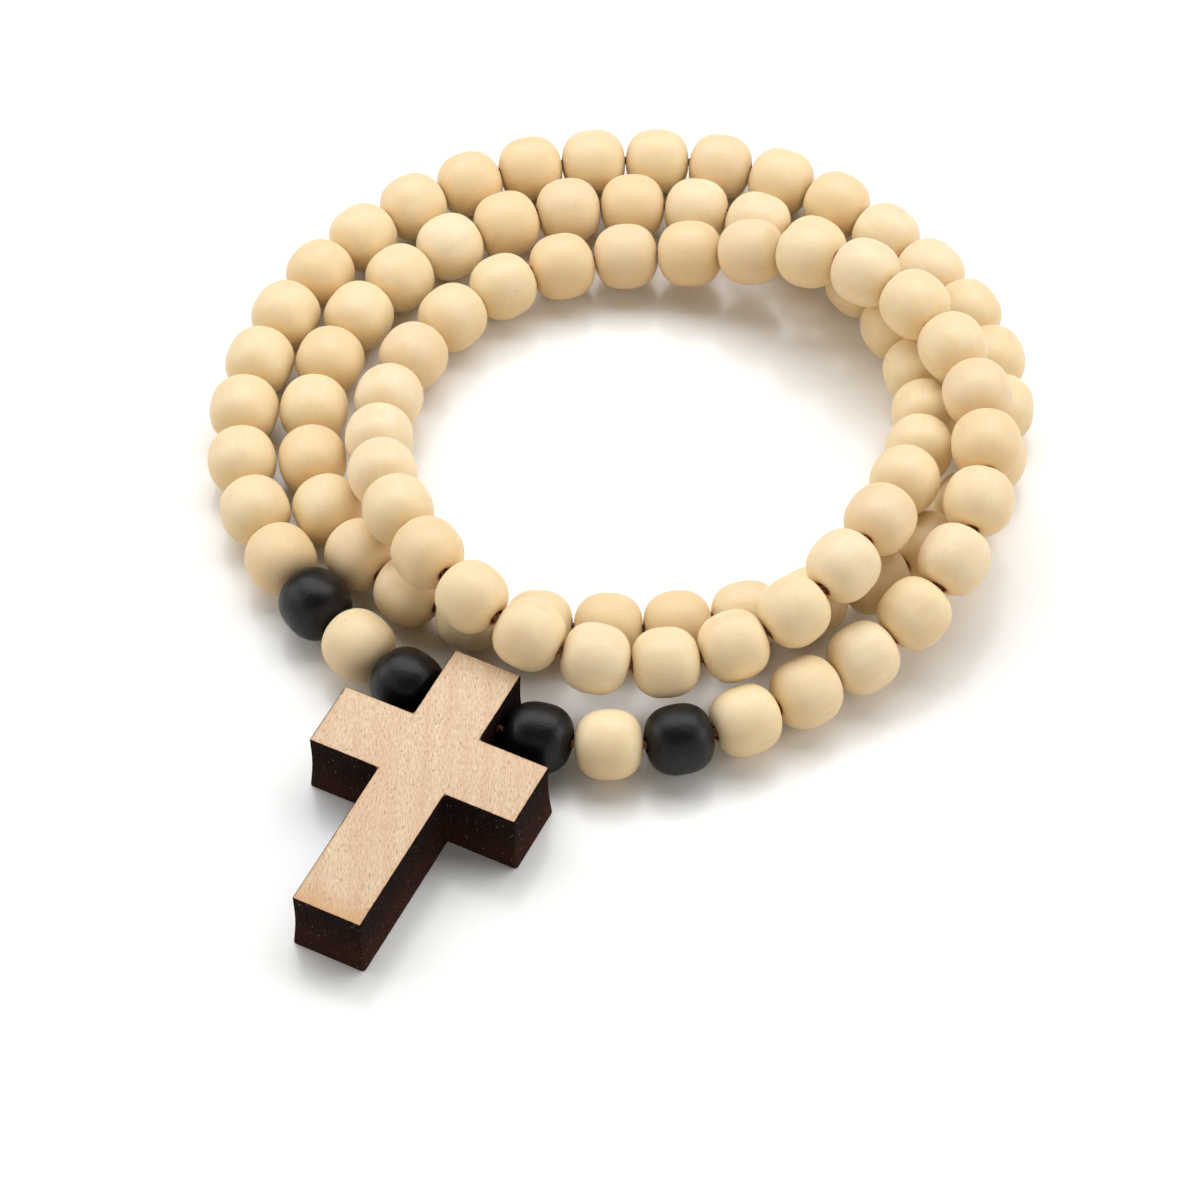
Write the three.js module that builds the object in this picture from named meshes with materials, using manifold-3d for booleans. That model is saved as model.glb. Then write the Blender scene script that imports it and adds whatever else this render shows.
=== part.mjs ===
// Wooden prayer beads: ninety beads and a flat cross on one cord, laid down in three loose
// turns. Millimetres, +Z up, standing on Z = 0.
import * as THREE from 'three';
import { mergeVertices } from 'three/addons/utils/BufferGeometryUtils.js';
import Module from 'manifold-3d';

const wasm = await Module();
wasm.setup();

// ---------------------------------------------------------------- driving dimensions

// The cord, and the knot that closes it inside the cross.
const CORD_DIAMETER = 1;
const KNOT_DIAMETER = 2.6;
const KNOT_END_DIAMETER = 1.8;
const KNOT_LENGTH = 3;

// A bead is a ball with full shoulders and blunt ends.
const BEAD_DIAMETER = 8;
const BEAD_LENGTH_RATIO = 0.95;
const BEAD_FULLNESS = 2.45; // exponent of its outline: 2 is an ellipse, more is fuller

// The cross lies flat. Its bore runs from side to side through the top arm.
const CROSS_LENGTH = 37;
const CROSS_WIDTH = 24.9;
const CROSS_THICKNESS = 8.1;
const STEM_WIDTH = 8.1;
const BAR_WIDTH = 8.2;
const TOP_ARM_LENGTH = 9.8;
const BORE_FROM_TOP = 4.9;

// Where the cross's bore lies on the table, and how the cross is turned, for the route below.
const CROSS_PLACE = [-16.9, -29.5];
const CROSS_TURN = THREE.MathUtils.degToRad(-26.4);

// Clearances
const CORD_IN_BEAD = 0.3; // all round the cord in a bead's bore
const KNOT_IN_CROSS = 0.3; // all round the knot in the cross's bore
const CORD_TO_KNOT = 0.3; // end to end
const MOUTH_GAP = 0.3; // from the cross's side to the end bead's share of the cord
const BEAD_TO_CROSS = 0.1;
const BEAD_TO_BEAD = 0.06;
const USUAL_BEND = THREE.MathUtils.degToRad(14); // of the cord between two neighbours

// The cord's way round, clockwise from the cross's left side to its right side: a point at
// every second gap between beads, for beads of ROUTE_BEAD. Turns that cross lie higher.
const ROUTE_BEAD = 8;
const ROUTE = [
  // the outer turn
  [-32.5, -17, 4], [-41, -4, 4], [-44.5, 11.5, 4], [-41.5, 27, 4], [-34, 41, 4],
  [-21.5, 50.5, 4], [-7, 55, 4], [8.5, 55.5, 4], [23.5, 51, 4], [35, 40, 4],
  [43, 27, 4], [44, 11.5, 4], [37.5, -3, 4], [25, -12, 4], [10, -16.5, 4], [-5, -17, 4],
  // the middle turn, which climbs over the outer one on the right
  [-21, -14, 4], [-32, -3.5, 4], [-36.5, 11.5, 4], [-33, 27, 4], [-23.5, 39, 4],
  [-11, 47, 4], [5, 48.5, 4], [20, 43.5, 4], [30.5, 31.5, 4], [36, 17, 4.5],
  [32.5, 2.5, 8.5], [27.5, -11.5, 12.5], [16, -21, 8], [1, -25, 7.5], [-14.5, -21.5, 10.5],
  // the inner turn, which leads out over both to the cross's right side
  [-23.5, -9, 11.5], [-27.5, 5.5, 7.5], [-26, 20, 4], [-17.5, 32.5, 4], [-3.5, 39, 4],
  [12, 39, 5.5], [26, 33, 10.5], [37, 21.5, 11], [41, 7, 11.5], [39, -8.5, 10],
  [29.5, -19, 5], [17, -28, 4], [2.5, -33.5, 4],
];

// The black beads are the first and the third from the cross on each side. The beads that lie
// side by side in the lowest layer are joined in runs; every other bead is a piece of its own.
const BEAD_COUNT = 2 * (ROUTE.length + 1);
const BLACK_BEADS = [0, 2, BEAD_COUNT - 3, BEAD_COUNT - 1];
const BEADS_IN_RUN = 4;
const RUN_COUNT = 11;
const FIRST_RUN_BEAD = 3;
const COLLAR_WALL = 0.4; // round the bore, where two beads of a run are joined

const EASING_ROUNDS = 200;
const BEAD_SIDES = 12;
const BEAD_BANDS = 6;
const CORD_SIDES = 8;
const BORE_SIDES = 16;

// ---------------------------------------------------------------- what follows from them

const X = new THREE.Vector3(1, 0, 0);
const Y = new THREE.Vector3(0, 1, 0);
const Z = new THREE.Vector3(0, 0, 1);

const beadRadius = BEAD_DIAMETER / 2;
const beadHalfLength = beadRadius * BEAD_LENGTH_RATIO;
const beadBoreRadius = CORD_DIAMETER / 2 + CORD_IN_BEAD;
const collarRadius = beadBoreRadius + COLLAR_WALL;
const crossBoreRadius = KNOT_DIAMETER / 2 + KNOT_IN_CROSS;
const routeScale = BEAD_DIAMETER / ROUTE_BEAD;

/** How far a bead reaches from its centre in a direction at a cosine to its axis. */
function beadReach(cosine) {
  const power = BEAD_FULLNESS / (BEAD_FULLNESS - 1);
  const along = beadHalfLength * Math.min(Math.abs(cosine), 1);
  const across = beadRadius * Math.sqrt(Math.max(1 - cosine ** 2, 0));
  return (along ** power + across ** power) ** (1 / power);
}

// The cord's length from gap to gap, long enough for neighbours at the usual bend.
const bendCosine = Math.cos(USUAL_BEND / 2);
const pitch = (2 * beadReach(bendCosine) + BEAD_TO_BEAD) / bendCosine;

// No two beads whose centres are further apart than this can touch.
const farthestContact = 2 * Math.hypot(beadRadius, beadHalfLength) + BEAD_TO_BEAD;

const boreCentre = new THREE.Vector3(...CROSS_PLACE, 0).multiplyScalar(routeScale);
boreCentre.z = CROSS_THICKNESS / 2;
const acrossCross = X.clone().applyAxisAngle(Z, CROSS_TURN);
const mouthReach = STEM_WIDTH / 2 + MOUTH_GAP;
const leftMouth = boreCentre.clone().addScaledVector(acrossCross, -mouthReach);
const rightMouth = boreCentre.clone().addScaledVector(acrossCross, mouthReach);

// The cross's outline heights, measured from its bore towards the top end.
const crossTop = BORE_FROM_TOP;
const barTop = crossTop - TOP_ARM_LENGTH;
const barBottom = barTop - BAR_WIDTH;
const crossFoot = crossTop - CROSS_LENGTH;

// ---------------------------------------------------------------- how the strand lies

/** The middle of each bead, halfway between the cord's points on both sides of it. */
function beadCentres(points) {
  return points.slice(1).map((point, i) => point.clone().add(points[i]).multiplyScalar(0.5));
}

/** The direction of the cord through each bead. */
function beadAxes(points) {
  return points.slice(1).map((point, i) => point.clone().sub(points[i]).normalize());
}

/** Moves a bead by moving the cord's points on both sides of it. */
function moveBead(points, bead, move) {
  points[bead].add(move);
  points[bead + 1].add(move);
}

/** Pushes apart beads that are too close. */
function partBeads(points) {
  const centres = beadCentres(points);
  const axes = beadAxes(points);
  for (let i = 0; i < BEAD_COUNT; i++) {
    for (let j = i + 1; j < BEAD_COUNT; j++) {
      const between = centres[j].clone().sub(centres[i]);
      const distance = between.length();
      if (distance >= farthestContact) continue;
      between.divideScalar(distance);
      const reach = beadReach(axes[i].dot(between)) + beadReach(axes[j].dot(between));
      const lacking = reach + BEAD_TO_BEAD - distance;
      if (lacking <= 0) continue;
      const push = between.multiplyScalar(lacking / 2);
      centres[j].add(push);
      moveBead(points, j, push);
      push.negate();
      centres[i].add(push);
      moveBead(points, i, push);
    }
  }
}

/** Pushes beads out of the cross's stem and bar. */
function clearCross(points) {
  const middle = CROSS_THICKNESS / 2;
  const blocks = [
    [[-STEM_WIDTH / 2, crossFoot, -middle], [STEM_WIDTH / 2, crossTop, middle]],
    [[-CROSS_WIDTH / 2, barBottom, -middle], [CROSS_WIDTH / 2, barTop, middle]],
  ].map((corners) => corners.map((corner) => new THREE.Vector3(...corner)));
  const centres = beadCentres(points);
  const axes = beadAxes(points);
  for (let bead = 0; bead < BEAD_COUNT; bead++) {
    const seen = centres[bead].sub(boreCentre).applyAxisAngle(Z, -CROSS_TURN);
    for (const [low, high] of blocks) {
      const away = seen.clone().sub(seen.clone().clamp(low, high));
      const distance = away.length();
      away.applyAxisAngle(Z, CROSS_TURN).normalize();
      const lacking = beadReach(axes[bead].dot(away)) + BEAD_TO_CROSS - distance;
      if (lacking > 0) moveBead(points, bead, away.multiplyScalar(lacking));
    }
  }
}

/** Lifts beads that have sunk into the table. */
function liftFromTable(points) {
  const centres = beadCentres(points);
  const axes = beadAxes(points);
  for (let bead = 0; bead < BEAD_COUNT; bead++) {
    const lacking = beadReach(axes[bead].z) - centres[bead].z;
    if (lacking > 0) moveBead(points, bead, Z.clone().multiplyScalar(lacking));
  }
}

/** Brings the cord's points back to one pitch apart, with its ends held in the cross. */
function keepPitch(points) {
  const order = [...Array(BEAD_COUNT).keys()];
  for (const bead of [...order, ...order.reverse()]) {
    const link = points[bead + 1].clone().sub(points[bead]);
    const length = link.length();
    const share = bead === 0 ? 0 : bead === BEAD_COUNT - 1 ? 1 : 0.5;
    const slack = link.multiplyScalar((length - pitch) / length);
    points[bead].addScaledVector(slack, share);
    points[bead + 1].addScaledVector(slack, share - 1);
  }
}

/** The cord's points, one at each gap between beads, from the left mouth to the right one. */
function layStrand() {
  const stations = ROUTE.map((place) => new THREE.Vector3(...place).multiplyScalar(routeScale));
  const line = [leftMouth, ...stations, rightMouth];
  const points = new THREE.CatmullRomCurve3(line, false, 'catmullrom', 0.5).getPoints(BEAD_COUNT);
  for (let round = 0; round < EASING_ROUNDS; round++) {
    partBeads(points);
    clearCross(points);
    liftFromTable(points);
    points[0].copy(leftMouth);
    points[BEAD_COUNT].copy(rightMouth);
    keepPitch(points);
  }
  return points;
}

const cordPoints = layStrand();
const centres = beadCentres(cordPoints);
const beadAxis = (bead) => cordPoints[bead + 1].clone().sub(cordPoints[bead]).normalize();

// ---------------------------------------------------------------- joining and cutting

/** A closed three.js geometry as a solid that can be joined and cut. */
function toSolid(geometry) {
  const bare = geometry.clone();
  bare.deleteAttribute('normal');
  bare.deleteAttribute('uv');
  const merged = mergeVertices(bare);
  const vertProperties = new Float32Array(merged.attributes.position.array);
  const triVerts = new Uint32Array(merged.index.array);
  return new wasm.Manifold(new wasm.Mesh({ numProp: 3, vertProperties, triVerts }));
}

/** A joined or cut solid as a three.js geometry. */
function toGeometry(solid) {
  const { vertProperties, triVerts } = solid.getMesh();
  const geometry = new THREE.BufferGeometry();
  geometry.setAttribute('position', new THREE.BufferAttribute(vertProperties, 3));
  geometry.setIndex(new THREE.BufferAttribute(triVerts, 1));
  return geometry;
}

// ---------------------------------------------------------------- the pieces

const paleWood = new THREE.MeshStandardMaterial({ color: 0xe3c79a, roughness: 0.55, metalness: 0 });
const blackLacquer = new THREE.MeshStandardMaterial({ color: 0x1c1b1d, roughness: 0.35, metalness: 0 });
const crossWood = new THREE.MeshStandardMaterial({ color: 0xc9a480, roughness: 0.65, metalness: 0 });
const cordYarn = new THREE.MeshStandardMaterial({ color: 0xb48f62, roughness: 0.9, metalness: 0 });

/** A bead's outline about the Y axis, from its lower end to its upper one. */
function beadOutline(lowerEndRadius, upperEndRadius) {
  const power = 2 / BEAD_FULLNESS;
  const angleAt = (radius) => Math.acos((radius / beadRadius) ** (1 / power));
  const lowest = -angleAt(lowerEndRadius);
  const highest = angleAt(upperEndRadius);
  return [...Array(BEAD_BANDS + 1).keys()].map((step) => {
    const angle = THREE.MathUtils.lerp(lowest, highest, step / BEAD_BANDS);
    const height = Math.sign(angle) * Math.abs(Math.sin(angle)) ** power;
    return new THREE.Vector2(beadRadius * Math.cos(angle) ** power, beadHalfLength * height);
  });
}

/** A bored bead about the Y axis. */
function boredBead() {
  const outline = beadOutline(beadBoreRadius, beadBoreRadius);
  return new THREE.LatheGeometry([...outline, outline[0]], BEAD_SIDES);
}

/** Beads in a row, joined by a collar in each gap. The row is turned straight, then bent. */
function beadRun(first) {
  const outside = [];
  const bore = [];
  for (let step = 0; step < BEADS_IN_RUN; step++) {
    const lowerEnd = step === 0 ? beadBoreRadius : collarRadius;
    const upperEnd = step === BEADS_IN_RUN - 1 ? beadBoreRadius : collarRadius;
    for (const point of beadOutline(lowerEnd, upperEnd)) {
      outside.push(point.setY(point.y + step * pitch));
    }
    if (step > 0) bore.unshift(new THREE.Vector2(beadBoreRadius, (step - 0.5) * pitch));
  }
  const row = new THREE.LatheGeometry([...outside, ...bore, outside[0]], BEAD_SIDES);

  const turns = [new THREE.Quaternion().setFromUnitVectors(Y, beadAxis(first))];
  for (let step = 1; step < BEADS_IN_RUN; step++) {
    const bend = new THREE.Quaternion();
    bend.setFromUnitVectors(beadAxis(first + step - 1), beadAxis(first + step));
    turns.push(bend.multiply(turns[step - 1]));
  }
  const vertices = row.attributes.position;
  const vertex = new THREE.Vector3();
  for (let i = 0; i < vertices.count; i++) {
    vertex.fromBufferAttribute(vertices, i);
    const step = THREE.MathUtils.clamp(Math.round(vertex.y / pitch), 0, BEADS_IN_RUN - 1);
    vertex.y -= step * pitch;
    vertex.applyQuaternion(turns[step]).add(centres[first + step]);
    vertices.setXYZ(i, ...vertex.toArray());
  }
  return row;
}

/** A line through given points, with a bend only at each point. */
class BentLine extends THREE.Curve {
  constructor(points) {
    super();
    this.points = points;
  }

  getPoint(share, target = new THREE.Vector3()) {
    const along = share * (this.points.length - 1);
    const from = Math.min(Math.floor(along), this.points.length - 2);
    return target.copy(this.points[from]).lerp(this.points[from + 1], along - from);
  }

  getPointAt(share, target) {
    return this.getPoint(share, target);
  }

  getTangentAt(share, target = new THREE.Vector3()) {
    const last = this.points.length - 1;
    const at = Math.round(share * last);
    const before = this.points[Math.max(at - 1, 0)];
    const here = this.points[at];
    const after = this.points[Math.min(at + 1, last)];
    const into = here.clone().sub(before).normalize();
    return target.copy(after).sub(here).normalize().add(into).normalize();
  }
}

/** The cord, whole, through every bead, with its ends at the knot inside the cross. */
function cord() {
  const endReach = KNOT_LENGTH / 2 + CORD_TO_KNOT;
  const start = boreCentre.clone().addScaledVector(acrossCross, -endReach);
  const end = boreCentre.clone().addScaledVector(acrossCross, endReach);
  const line = new BentLine([start, ...cordPoints, end]);
  const section = new THREE.Shape().absarc(0, 0, CORD_DIAMETER / 2, 0, 2 * Math.PI);
  return new THREE.ExtrudeGeometry(section, {
    extrudePath: line,
    steps: line.points.length - 1,
    curveSegments: CORD_SIDES / 2,
  });
}

/** The knot about the Y axis: a barrel that is slimmer at its ends. */
function knot() {
  const widest = KNOT_DIAMETER / 2;
  const slimmest = KNOT_END_DIAMETER / 2;
  const half = KNOT_LENGTH / 2;
  const outline = [
    [0, -half], [slimmest, -half], [widest, -half / 2],
    [widest, half / 2], [slimmest, half], [0, half],
  ].map((point) => new THREE.Vector2(...point));
  return new THREE.LatheGeometry(outline, BEAD_SIDES);
}

/** The cross about its bore, flat in X and Y, with the top arm towards +Y. */
function cross() {
  const stem = STEM_WIDTH / 2;
  const arm = CROSS_WIDTH / 2;
  const corners = [
    [-stem, crossFoot], [stem, crossFoot], [stem, barBottom], [arm, barBottom], [arm, barTop],
    [stem, barTop], [stem, crossTop], [-stem, crossTop], [-stem, barTop], [-arm, barTop],
    [-arm, barBottom], [-stem, barBottom],
  ].map((corner) => new THREE.Vector2(...corner));
  const board = new THREE.ExtrudeGeometry(new THREE.Shape(corners), {
    depth: CROSS_THICKNESS,
    bevelEnabled: false,
  });
  board.translate(0, 0, -CROSS_THICKNESS / 2);
  const bore = new THREE.CylinderGeometry(
    crossBoreRadius, crossBoreRadius, 2 * STEM_WIDTH, BORE_SIDES,
  ).rotateZ(Math.PI / 2);
  return toGeometry(toSolid(board).subtract(toSolid(bore)));
}

// ---------------------------------------------------------------- the assembly

const rosary = new THREE.Group();

/** Adds a named piece to the rosary. */
function add(name, geometry, material) {
  const mesh = new THREE.Mesh(geometry, material);
  mesh.name = name;
  rosary.add(mesh);
  return mesh;
}

add('cord', cord(), cordYarn);

const knotPiece = add('cord_knot', knot(), cordYarn);
knotPiece.position.copy(boreCentre);
knotPiece.quaternion.setFromUnitVectors(Y, acrossCross);

const crossPiece = add('cross', cross(), crossWood);
crossPiece.position.copy(boreCentre);
crossPiece.rotation.z = CROSS_TURN;

/** A bead's place on the strand as two digits, counted from 1. */
const numberOf = (bead) => String(bead + 1).padStart(2, '0');

const runsEnd = FIRST_RUN_BEAD + RUN_COUNT * BEADS_IN_RUN;
for (let first = FIRST_RUN_BEAD; first < runsEnd; first += BEADS_IN_RUN) {
  const name = `beads_${numberOf(first)}_to_${numberOf(first + BEADS_IN_RUN - 1)}`;
  add(name, beadRun(first), paleWood);
}

for (let bead = 0; bead < BEAD_COUNT; bead++) {
  if (bead >= FIRST_RUN_BEAD && bead < runsEnd) continue;
  const black = BLACK_BEADS.indexOf(bead);
  const name = black < 0 ? `bead_${numberOf(bead)}` : `black_bead_${black + 1}`;
  const piece = add(name, boredBead(), black < 0 ? paleWood : blackLacquer);
  piece.position.copy(centres[bead]);
  piece.quaternion.setFromUnitVectors(Y, beadAxis(bead));
}

export default rosary;
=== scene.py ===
"""Wooden prayer beads with a flat cross: their looks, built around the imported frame.

Metres, +Z up. Every piece rides on one of the frame's bodies. A panel in the sidebar lists the
operators that make them, with their sizes and colours.
"""

import itertools
import math
import random

import bmesh
import bpy
import numpy as np
from bpy.props import FloatProperty, FloatVectorProperty, IntProperty, PointerProperty
from mathutils import Matrix, Vector, noise
from numpy.linalg import norm


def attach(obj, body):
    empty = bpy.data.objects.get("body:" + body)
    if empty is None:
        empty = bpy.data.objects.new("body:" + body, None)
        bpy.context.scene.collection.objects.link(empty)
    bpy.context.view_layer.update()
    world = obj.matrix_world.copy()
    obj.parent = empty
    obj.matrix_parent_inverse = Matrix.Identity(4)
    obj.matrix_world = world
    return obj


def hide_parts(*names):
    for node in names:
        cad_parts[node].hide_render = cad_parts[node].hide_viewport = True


bl_info = {
    "name": "Prayer beads",
    "version": (1, 0, 0),
    "blender": (4, 5, 0),
    "location": "3D view > Sidebar > Prayer beads",
    "description": "Ninety wooden beads and a flat cross on one cord",
    "category": "Add Mesh",
}

MM = 0.001
MM_IN_METRE = 1000

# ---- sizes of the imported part

CORD_DIAMETER = 1 * MM
KNOT_DIAMETER = 2.6 * MM
KNOT_LENGTH = 3 * MM
CORD_TO_KNOT = 0.3 * MM

BEAD_RADIUS = 4 * MM
BEAD_HALF_LENGTH = 3.8 * MM
BEAD_FULLNESS = 2.45  # exponent of its outline: 2 is an ellipse, more is fuller
BEAD_BORE_RADIUS = 0.8 * MM

CROSS_LENGTH = 37 * MM
CROSS_WIDTH = 24.9 * MM
CROSS_THICKNESS = 8.1 * MM
STEM_WIDTH = 8.1 * MM
BAR_WIDTH = 8.2 * MM
TOP_ARM_LENGTH = 9.8 * MM
BORE_FROM_TOP = 4.9 * MM
CROSS_BORE_RADIUS = 1.6 * MM
BORE_CENTRE = np.array([-16.9, -29.5, 4.05]) * MM
CROSS_TURN = math.radians(-26.4)

MOUTH_GAP = 0.3 * MM
BEAD_TO_CROSS = 0.1 * MM
BEAD_TO_BEAD = 0.06 * MM
USUAL_BEND = math.radians(14)
EASING_ROUNDS = 200

# The cord's way round in millimetres, from the cross's left side to its right side: a point at
# every second gap between beads. Turns that cross lie higher.
ROUTE = [
    # the outer turn
    (-32.5, -17, 4), (-41, -4, 4), (-44.5, 11.5, 4), (-41.5, 27, 4), (-34, 41, 4),
    (-21.5, 50.5, 4), (-7, 55, 4), (8.5, 55.5, 4), (23.5, 51, 4), (35, 40, 4), (43, 27, 4),
    (44, 11.5, 4), (37.5, -3, 4), (25, -12, 4), (10, -16.5, 4), (-5, -17, 4),
    # the middle turn, which climbs over the outer one on the right
    (-21, -14, 4), (-32, -3.5, 4), (-36.5, 11.5, 4), (-33, 27, 4), (-23.5, 39, 4), (-11, 47, 4),
    (5, 48.5, 4), (20, 43.5, 4), (30.5, 31.5, 4), (36, 17, 4.5), (32.5, 2.5, 8.5),
    (27.5, -11.5, 12.5), (16, -21, 8), (1, -25, 7.5), (-14.5, -21.5, 10.5),
    # the inner turn, which leads out over both to the cross's right side
    (-23.5, -9, 11.5), (-27.5, 5.5, 7.5), (-26, 20, 4), (-17.5, 32.5, 4), (-3.5, 39, 4),
    (12, 39, 5.5), (26, 33, 10.5), (37, 21.5, 11), (41, 7, 11.5), (39, -8.5, 10), (29.5, -19, 5),
    (17, -28, 4), (2.5, -33.5, 4),
]

BEAD_COUNT = 2 * (len(ROUTE) + 1)
BLACK_BEADS = (1, 3, 88, 90)  # counted from the cross's left side
BEADS_IN_RUN = 4
FIRST_RUN_BEAD = 4
LAST_RUN_BEAD = 47

# Beads of the same batch of wood, by their number on the cord. All others are cream.
TAN_BEADS = (4, 10, 13, 14, 19, 31, 32, 38, 40, 44, 46, 64, 72, 74, 81)
PINK_BEADS = (17, 36, 45, 56, 69, 73, 75, 80)
LIGHT_BEADS = (20, 21, 43, 47, 48, 57, 61, 66, 67, 68, 77, 83, 85)

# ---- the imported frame

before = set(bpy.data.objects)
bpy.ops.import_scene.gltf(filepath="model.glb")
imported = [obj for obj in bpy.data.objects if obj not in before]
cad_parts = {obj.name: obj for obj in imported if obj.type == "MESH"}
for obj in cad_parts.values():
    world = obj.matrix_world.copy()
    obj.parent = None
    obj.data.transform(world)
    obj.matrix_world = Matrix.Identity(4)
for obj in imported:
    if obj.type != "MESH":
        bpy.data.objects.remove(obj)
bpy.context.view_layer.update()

# ---- how the strand lies

REACH_POWER = BEAD_FULLNESS / (BEAD_FULLNESS - 1)  # the dual exponent of its outline


def bead_reach(cosine):
    """How far a bead reaches from its centre in a direction at a cosine to its axis."""
    along = BEAD_HALF_LENGTH * min(abs(cosine), 1)
    across = BEAD_RADIUS * math.sqrt(max(1 - cosine ** 2, 0))
    return (along ** REACH_POWER + across ** REACH_POWER) ** (1 / REACH_POWER)


BEND_COSINE = math.cos(USUAL_BEND / 2)
PITCH = (2 * bead_reach(BEND_COSINE) + BEAD_TO_BEAD) / BEND_COSINE
FARTHEST_CONTACT = 2 * math.hypot(BEAD_RADIUS, BEAD_HALF_LENGTH) + BEAD_TO_BEAD

ACROSS_CROSS = np.array([math.cos(CROSS_TURN), math.sin(CROSS_TURN), 0])
MOUTH_REACH = STEM_WIDTH / 2 + MOUTH_GAP
LEFT_MOUTH = BORE_CENTRE - ACROSS_CROSS * MOUTH_REACH
RIGHT_MOUTH = BORE_CENTRE + ACROSS_CROSS * MOUTH_REACH

# The cross's outline heights, measured from its bore towards the top end.
CROSS_TOP = BORE_FROM_TOP
BAR_TOP = CROSS_TOP - TOP_ARM_LENGTH
BAR_BOTTOM = BAR_TOP - BAR_WIDTH
CROSS_FOOT = CROSS_TOP - CROSS_LENGTH
# Each with half its width, its lower end and its upper end.
STEM_AND_BAR = (STEM_WIDTH / 2, CROSS_FOOT, CROSS_TOP), (CROSS_WIDTH / 2, BAR_BOTTOM, BAR_TOP)


def unit(vector):
    return vector / norm(vector)


def turned(vector, angle):
    """A vector turned about +Z."""
    cosine, sine = math.cos(angle), math.sin(angle)
    x, y, z = vector
    return np.array([cosine * x - sine * y, sine * x + cosine * y, z])


def units(vectors):
    return vectors / norm(vectors, axis=1)[:, None]


def threaded(points):
    """The centres and axes of beads, one between each two points of the cord."""
    return (points[1:] + points[:-1]) / 2, units(points[1:] - points[:-1])


def first_line():
    """A smooth line through the route's stations, with a point halfway between each two."""
    stations = [LEFT_MOUTH, *(np.array(ROUTE) / MM_IN_METRE), RIGHT_MOUTH]
    before = 2 * stations[0] - stations[1]
    after = 2 * stations[-1] - stations[-2]
    line = [before, *stations, after]
    points = []
    for a, b, c, d in zip(line, line[1:], line[2:], line[3:]):
        points += [b, (9 * (b + c) - a - d) / 16]
    return np.array([*points, RIGHT_MOUTH])


def part_beads(points):
    """Pushes apart beads that are too close."""
    centres, axes = threaded(points)
    places = centres.tolist()
    for i, j in itertools.combinations(range(BEAD_COUNT), 2):
        distance = math.dist(places[i], places[j])
        if distance >= FARTHEST_CONTACT:
            continue
        between = (centres[j] - centres[i]) / distance
        reach = bead_reach(axes[i] @ between) + bead_reach(axes[j] @ between)
        lacking = reach + BEAD_TO_BEAD - distance
        if lacking <= 0:
            continue
        for bead, push in ((j, between * lacking / 2), (i, -between * lacking / 2)):
            points[bead:bead + 2] += push
            centres[bead] += push
            places[bead] = centres[bead].tolist()


def clear_cross(points):
    """Pushes beads out of the cross's stem and bar."""
    half = CROSS_THICKNESS / 2
    centres, axes = threaded(points)
    for bead in range(BEAD_COUNT):
        seen = turned(centres[bead] - BORE_CENTRE, -CROSS_TURN)
        for wide, low, high in STEM_AND_BAR:
            away = seen - np.clip(seen, (-wide, low, -half), (wide, high, half))
            distance = norm(away)
            if distance > FARTHEST_CONTACT:
                continue
            away = unit(turned(away, CROSS_TURN))
            lacking = bead_reach(axes[bead] @ away) + BEAD_TO_CROSS - distance
            if lacking > 0:
                points[bead:bead + 2] += away * lacking


def lift_from_table(points):
    """Lifts beads that have sunk into the table."""
    centres, axes = threaded(points)
    for bead in range(BEAD_COUNT):
        lacking = bead_reach(axes[bead][2]) - centres[bead][2]
        if lacking > 0:
            points[bead:bead + 2, 2] += lacking


def keep_pitch(points):
    """Brings the cord's points back to one pitch apart, with its ends held."""
    order = list(range(BEAD_COUNT))
    for bead in order + order[::-1]:
        link = points[bead + 1] - points[bead]
        length = math.sqrt(link @ link)
        share = {0: 0, BEAD_COUNT - 1: 1}.get(bead, 0.5)
        slack = link * ((length - PITCH) / length)
        points[bead] += slack * share
        points[bead + 1] += slack * (share - 1)


def lay_strand():
    """The cord's points, one at each gap between beads, from the left mouth to the right."""
    points = first_line()
    for _ in range(EASING_ROUNDS):
        part_beads(points)
        clear_cross(points)
        lift_from_table(points)
        points[0], points[-1] = LEFT_MOUTH, RIGHT_MOUTH
        keep_pitch(points)
    return points


CORD_POINTS = lay_strand()

# ---- sizes and colours to change

SRGB_KNEE = 0.04045


def colour(red, green, blue):
    """A screen's colour, 0 to 255, as Blender's linear light."""
    shares = [value / 255 for value in (red, green, blue)]
    return tuple(
        share / 12.92 if share <= SRGB_KNEE else ((share + 0.055) / 1.055) ** 2.4
        for share in shares
    )


def quantity(name, description, default, **more):
    return FloatProperty(name=name, description=description, default=default, **more)


def length_property(name, description, millimetres):
    return quantity(name, description, millimetres * MM, min=0, unit="LENGTH", precision=5)


def colour_property(name, description, *screen_colour):
    return FloatVectorProperty(
        name=name, description=description, default=colour(*screen_colour), subtype="COLOR",
        min=0, max=1,
    )


def angle_property(name, description, degrees):
    return quantity(name, description, math.radians(degrees), subtype="ANGLE")


def share_property(name, description, default):
    return quantity(name, description, default, min=0.9, max=1, subtype="FACTOR")


def power_property(name, default):
    return quantity(name, "Its power in watts", default)


class CameraSettings(bpy.types.PropertyGroup):
    """Where the beads are looked at from."""

    distance: length_property("Distance", "From the camera to its aim", 482.2)
    elevation: angle_property("Elevation", "Of the camera above the table", 51.3)
    field: angle_property("Field of view", "Across the picture", 16.06)
    aim: FloatVectorProperty(
        name="Aim", description="What the camera looks at",
        default=(-0.00245, -0.00985, 0), subtype="TRANSLATION", unit="LENGTH",
    )


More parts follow.
